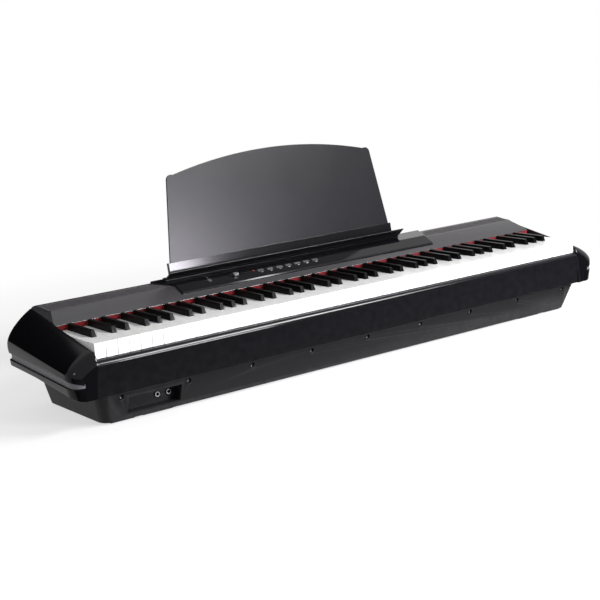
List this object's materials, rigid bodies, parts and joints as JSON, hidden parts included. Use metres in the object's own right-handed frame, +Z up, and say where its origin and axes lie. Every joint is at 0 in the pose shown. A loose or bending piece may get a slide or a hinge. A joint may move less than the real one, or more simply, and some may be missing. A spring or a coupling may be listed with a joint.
{
  "type": "digital piano",
  "caption": "Slab digital piano with a full weighted-style keyboard, raised control panel, side speaker grilles, lift-out music rest and stand fixings underneath.",
  "frame": {"origin": "centre of the footprint on the plane the rubber feet stand on", "axes": "+X towards the treble end, +Y away from the player, +Z up"},
  "size_m": [1.334, 0.268, 0.4287],
  "materials": {
    "case_gloss": "polished black ABS",
    "case_satin": "semi-gloss dark grey ABS",
    "panel_gloss": "high-gloss black plastic",
    "case_charcoal": "fine-textured charcoal ABS",
    "grille_mesh": "perforated steel, dark grey paint",
    "speaker_black": "paper cone and pressed basket",
    "circuit_board": "solder-masked glass fibre",
    "button_plastic": "satin black plastic",
    "slider_silver": "silver painted plastic",
    "led_red": "clear red plastic",
    "socket_black": "black nylon with metal contacts",
    "rest_satin": "satin dark grey plastic",
    "rest_gloss": "gloss black plastic",
    "foot_rubber": "matt black rubber",
    "screw_dark": "blackened steel",
    "screw_steel": "zinc plated steel",
    "insert_brass": "turned brass",
    "chassis_steel": "grey painted pressed steel",
    "felt_red": "crimson wool felt",
    "felt_dark": "dark red wool felt",
    "key_white": "gloss white acrylic",
    "key_black": "satin black plastic"
  },
  "bodies": {
    "root": {"left_cheek": "case_gloss", "right_cheek": "case_gloss", "key_slip": "case_gloss", "upper_case": "case_satin", "control_panel": "panel_gloss", "lower_case": "case_charcoal", "left_grille": "grille_mesh", "right_grille": "grille_mesh", "left_speaker": "speaker_black", "right_speaker": "speaker_black", "main_board": "circuit_board", "panel_board": "circuit_board", "contact_board": "circuit_board", "power_led": "led_red", "headphone_jacks": "socket_black", "rear_sockets": "socket_black", "rubber_feet": "foot_rubber", "front_screws": "screw_dark", "bottom_screws": "screw_steel", "stand_inserts": "insert_brass", "key_chassis": "chassis_steel", "key_shaft": "screw_steel", "key_springs": "screw_steel", "key_felt": "felt_red", "stop_felt": "felt_dark"},
    "body_c4": {"key_c4": "key_white"},
    "body_c_sharp4": {"key_c_sharp4": "key_black"},
    "body_d4": {"key_d4": "key_white"},
    "body_d_sharp4": {"key_d_sharp4": "key_black"},
    "body_e4": {"key_e4": "key_white"},
    "body_f4": {"key_f4": "key_white"},
    "body_f_sharp4": {"key_f_sharp4": "key_black"},
    "body_g4": {"key_g4": "key_white"},
    "body_g_sharp4": {"key_g_sharp4": "key_black"},
    "body_a4": {"key_a4": "key_white"},
    "body_a_sharp4": {"key_a_sharp4": "key_black"},
    "body_b4": {"key_b4": "key_white"},
    "bank_1": {"naturals_1": "key_white", "sharps_1": "key_black"},
    "bank_2": {"naturals_2": "key_white", "sharps_2": "key_black"},
    "bank_3": {"naturals_3": "key_white", "sharps_3": "key_black"},
    "bank_5": {"naturals_5": "key_white", "sharps_5": "key_black"},
    "bank_6": {"naturals_6": "key_white", "sharps_6": "key_black"},
    "bank_7": {"naturals_7": "key_white", "sharps_7": "key_black"},
    "push_1": {"button_1": "button_plastic"},
    "push_2": {"button_2": "button_plastic"},
    "push_3": {"button_3": "button_plastic"},
    "push_4": {"button_4": "button_plastic"},
    "push_5": {"button_5": "button_plastic"},
    "push_6": {"button_6": "button_plastic"},
    "push_7": {"button_7": "button_plastic"},
    "power_push": {"power_button": "button_plastic"},
    "volume": {"volume_slider": "slider_silver"},
    "rest": {"music_rest": "rest_satin", "rest_holder": "rest_gloss"}
  },
  "joints": [
    {"name": "swing_c4", "type": "hinge", "parent": "root", "child": "body_c4", "pos_m": [-0.05875, 0.101, 0.146], "axis": [1, 0, 0], "range_deg": [0, 2.58], "stiffness_Nm_per_rad": 1.5, "springref_deg": -4.58},
    {"name": "swing_c_sharp4", "type": "hinge", "parent": "root", "child": "body_c_sharp4", "pos_m": [-0.04906, 0.101, 0.146], "axis": [1, 0, 0], "range_deg": [0, 2.58], "stiffness_Nm_per_rad": 1.5, "springref_deg": -4.58},
    {"name": "swing_d4", "type": "hinge", "parent": "root", "child": "body_d4", "pos_m": [-0.03525, 0.101, 0.146], "axis": [1, 0, 0], "range_deg": [0, 2.58], "stiffness_Nm_per_rad": 1.5, "springref_deg": -4.58},
    {"name": "swing_d_sharp4", "type": "hinge", "parent": "root", "child": "body_d_sharp4", "pos_m": [-0.02144, 0.101, 0.146], "axis": [1, 0, 0], "range_deg": [0, 2.58], "stiffness_Nm_per_rad": 1.5, "springref_deg": -4.58},
    {"name": "swing_e4", "type": "hinge", "parent": "root", "child": "body_e4", "pos_m": [-0.01175, 0.101, 0.146], "axis": [1, 0, 0], "range_deg": [0, 2.58], "stiffness_Nm_per_rad": 1.5, "springref_deg": -4.58},
    {"name": "swing_f4", "type": "hinge", "parent": "root", "child": "body_f4", "pos_m": [0.01175, 0.101, 0.146], "axis": [1, 0, 0], "range_deg": [0, 2.58], "stiffness_Nm_per_rad": 1.5, "springref_deg": -4.58},
    {"name": "swing_f_sharp4", "type": "hinge", "parent": "root", "child": "body_f_sharp4", "pos_m": [0.02019, 0.101, 0.146], "axis": [1, 0, 0], "range_deg": [0, 2.58], "stiffness_Nm_per_rad": 1.5, "springref_deg": -4.58},
    {"name": "swing_g4", "type": "hinge", "parent": "root", "child": "body_g4", "pos_m": [0.03525, 0.101, 0.146], "axis": [1, 0, 0], "range_deg": [0, 2.58], "stiffness_Nm_per_rad": 1.5, "springref_deg": -4.58},
    {"name": "swing_g_sharp4", "type": "hinge", "parent": "root", "child": "body_g_sharp4", "pos_m": [0.047, 0.101, 0.146], "axis": [1, 0, 0], "range_deg": [0, 2.58], "stiffness_Nm_per_rad": 1.5, "springref_deg": -4.58},
    {"name": "swing_a4", "type": "hinge", "parent": "root", "child": "body_a4", "pos_m": [0.05875, 0.101, 0.146], "axis": [1, 0, 0], "range_deg": [0, 2.58], "stiffness_Nm_per_rad": 1.5, "springref_deg": -4.58},
    {"name": "swing_a_sharp4", "type": "hinge", "parent": "root", "child": "body_a_sharp4", "pos_m": [0.07381, 0.101, 0.146], "axis": [1, 0, 0], "range_deg": [0, 2.58], "stiffness_Nm_per_rad": 1.5, "springref_deg": -4.58},
    {"name": "swing_b4", "type": "hinge", "parent": "root", "child": "body_b4", "pos_m": [0.08225, 0.101, 0.146], "axis": [1, 0, 0], "range_deg": [0, 2.58], "stiffness_Nm_per_rad": 1.5, "springref_deg": -4.58},
    {"name": "swing_bank_1", "type": "hinge", "parent": "root", "child": "bank_1", "pos_m": [-0.482, 0.101, 0.146], "axis": [1, 0, 0], "range_deg": [0, 2.58], "stiffness_Nm_per_rad": 16, "springref_deg": -5.16},
    {"name": "swing_bank_2", "type": "hinge", "parent": "root", "child": "bank_2", "pos_m": [-0.3175, 0.101, 0.146], "axis": [1, 0, 0], "range_deg": [0, 2.58], "stiffness_Nm_per_rad": 16, "springref_deg": -5.16},
    {"name": "swing_bank_3", "type": "hinge", "parent": "root", "child": "bank_3", "pos_m": [-0.153, 0.101, 0.146], "axis": [1, 0, 0], "range_deg": [0, 2.58], "stiffness_Nm_per_rad": 16, "springref_deg": -5.16},
    {"name": "swing_bank_5", "type": "hinge", "parent": "root", "child": "bank_5", "pos_m": [0.176, 0.101, 0.146], "axis": [1, 0, 0], "range_deg": [0, 2.58], "stiffness_Nm_per_rad": 16, "springref_deg": -5.16},
    {"name": "swing_bank_6", "type": "hinge", "parent": "root", "child": "bank_6", "pos_m": [0.3405, 0.101, 0.146], "axis": [1, 0, 0], "range_deg": [0, 2.58], "stiffness_Nm_per_rad": 16, "springref_deg": -5.16},
    {"name": "swing_bank_7", "type": "hinge", "parent": "root", "child": "bank_7", "pos_m": [0.505, 0.101, 0.146], "axis": [1, 0, 0], "range_deg": [0, 2.58], "stiffness_Nm_per_rad": 16, "springref_deg": -5.16},
    {"name": "press_1", "type": "slide", "parent": "root", "child": "push_1", "axis": [0, 0.4339, -0.9009], "range_m": [0, 0.0012], "stiffness_N_per_m": 500, "springref_m": -0.0025},
    {"name": "press_2", "type": "slide", "parent": "root", "child": "push_2", "axis": [0, 0.4339, -0.9009], "range_m": [0, 0.0012], "stiffness_N_per_m": 500, "springref_m": -0.0025},
    {"name": "press_3", "type": "slide", "parent": "root", "child": "push_3", "axis": [0, 0.4339, -0.9009], "range_m": [0, 0.0012], "stiffness_N_per_m": 500, "springref_m": -0.0025},
    {"name": "press_4", "type": "slide", "parent": "root", "child": "push_4", "axis": [0, 0.4339, -0.9009], "range_m": [0, 0.0012], "stiffness_N_per_m": 500, "springref_m": -0.0025},
    {"name": "press_5", "type": "slide", "parent": "root", "child": "push_5", "axis": [0, 0.4339, -0.9009], "range_m": [0, 0.0012], "stiffness_N_per_m": 500, "springref_m": -0.0025},
    {"name": "press_6", "type": "slide", "parent": "root", "child": "push_6", "axis": [0, 0.4339, -0.9009], "range_m": [0, 0.0012], "stiffness_N_per_m": 500, "springref_m": -0.0025},
    {"name": "press_7", "type": "slide", "parent": "root", "child": "push_7", "axis": [0, 0.4339, -0.9009], "range_m": [0, 0.0012], "stiffness_N_per_m": 500, "springref_m": -0.0025},
    {"name": "press_power", "type": "slide", "parent": "root", "child": "power_push", "axis": [0, 0.4339, -0.9009], "range_m": [0, 0.0012], "stiffness_N_per_m": 500, "springref_m": -0.0025},
    {"name": "volume_slide", "type": "slide", "parent": "root", "child": "volume", "axis": [1, 0, 0], "range_m": [-0.015, 0.015]},
    {"name": "rest_lift", "type": "slide", "parent": "root", "child": "rest", "axis": [0, 0, 1], "range_m": [0, 0.02]}
  ]
}
